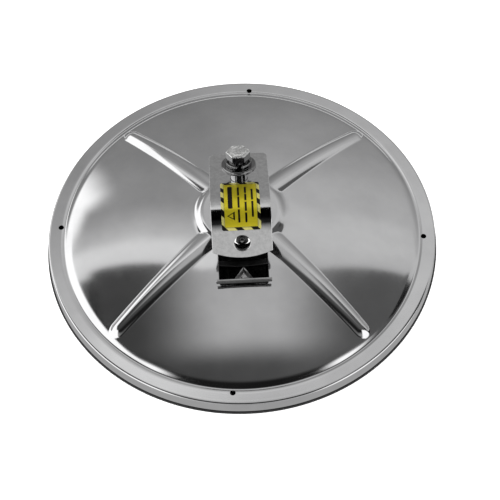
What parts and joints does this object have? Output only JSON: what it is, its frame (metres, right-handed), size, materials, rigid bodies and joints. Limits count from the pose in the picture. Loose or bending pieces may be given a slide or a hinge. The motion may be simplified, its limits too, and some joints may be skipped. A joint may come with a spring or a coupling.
{
  "type": "convex mirror head",
  "caption": "Round convex mirror head: pressed steel bowl with ribs, glass in a rubber edge, ball joint, and an angled clamp bracket with bolt.",
  "frame": {"origin": "centre of the arm seat, where the clamp post leaves the bracket's top plate", "axes": "+Z along the bowl's axis away from the glass, +X across the bracket, -Y towards the bracket's leg"},
  "size_m": [0.2158, 0.2158, 0.075],
  "materials": {
    "bracket_steel": "fine brushed stainless",
    "stud_steel": "bright plated",
    "label": "printed vinyl, striped edge",
    "zinc": "bright zinc plate",
    "bolt_steel": "bright zinc plate",
    "bowl_steel": "polished stainless",
    "rubber": "moulded EPDM",
    "mirror": "silvered convex glass",
    "nylon": "natural nylon",
    "plated_steel": "zinc plate",
    "dark_steel": "dark polished",
    "screw_steel": "bright zinc plate",
    "spring_steel": "drawn wire"
  },
  "bodies": {
    "bracket": {"mount_bracket": "bracket_steel", "ball_stud": "stud_steel", "safety_label": "label"},
    "clamp_washers": {"flat_washer": "zinc", "lock_washer": "zinc"},
    "clamp_bolt": {"hex_bolt": "bolt_steel"},
    "tilting_seat": {"upper_seat": "nylon"},
    "rolling_seat": {"lower_seat": "nylon"},
    "head": {"back_bowl": "bowl_steel", "edge_gasket": "rubber", "mirror_glass": "mirror", "socket_plate": "plated_steel", "pressure_plate": "plated_steel", "stop_plate": "dark_steel", "stop_screw": "screw_steel", "tension_screws": "screw_steel", "tension_springs": "spring_steel", "lock_nuts": "screw_steel"}
  },
  "joints": [
    {"name": "washer_lift", "type": "slide", "parent": "bracket", "child": "clamp_washers", "axis": [0, 0.342, 0.9397], "range_m": [0, 0.00508]},
    {"name": "bolt_turn", "type": "hinge", "parent": "clamp_washers", "child": "clamp_bolt", "pos_m": [0, 0, 0], "axis": [0, 0.342, 0.9397], "range_deg": [0, 1440]},
    {"name": "head_tilt", "type": "hinge", "parent": "bracket", "child": "tilting_seat", "pos_m": [0, -0.00889, -0.02443], "axis": [1, 0, 0], "range_deg": [-4, 8]},
    {"name": "head_roll", "type": "hinge", "parent": "tilting_seat", "child": "rolling_seat", "pos_m": [0, -0.00889, -0.02443], "axis": [0, 1, 0], "range_deg": [-5, 5]},
    {"name": "head_spin", "type": "hinge", "parent": "rolling_seat", "child": "head", "pos_m": [0, -0.00889, -0.02443], "axis": [0, 0, 1], "range_deg": [-90, 90]}
  ],
  "couplings": [
    {"joint": "washer_lift", "follows": "bolt_turn", "m_per_rad": 0.00020213}
  ]
}
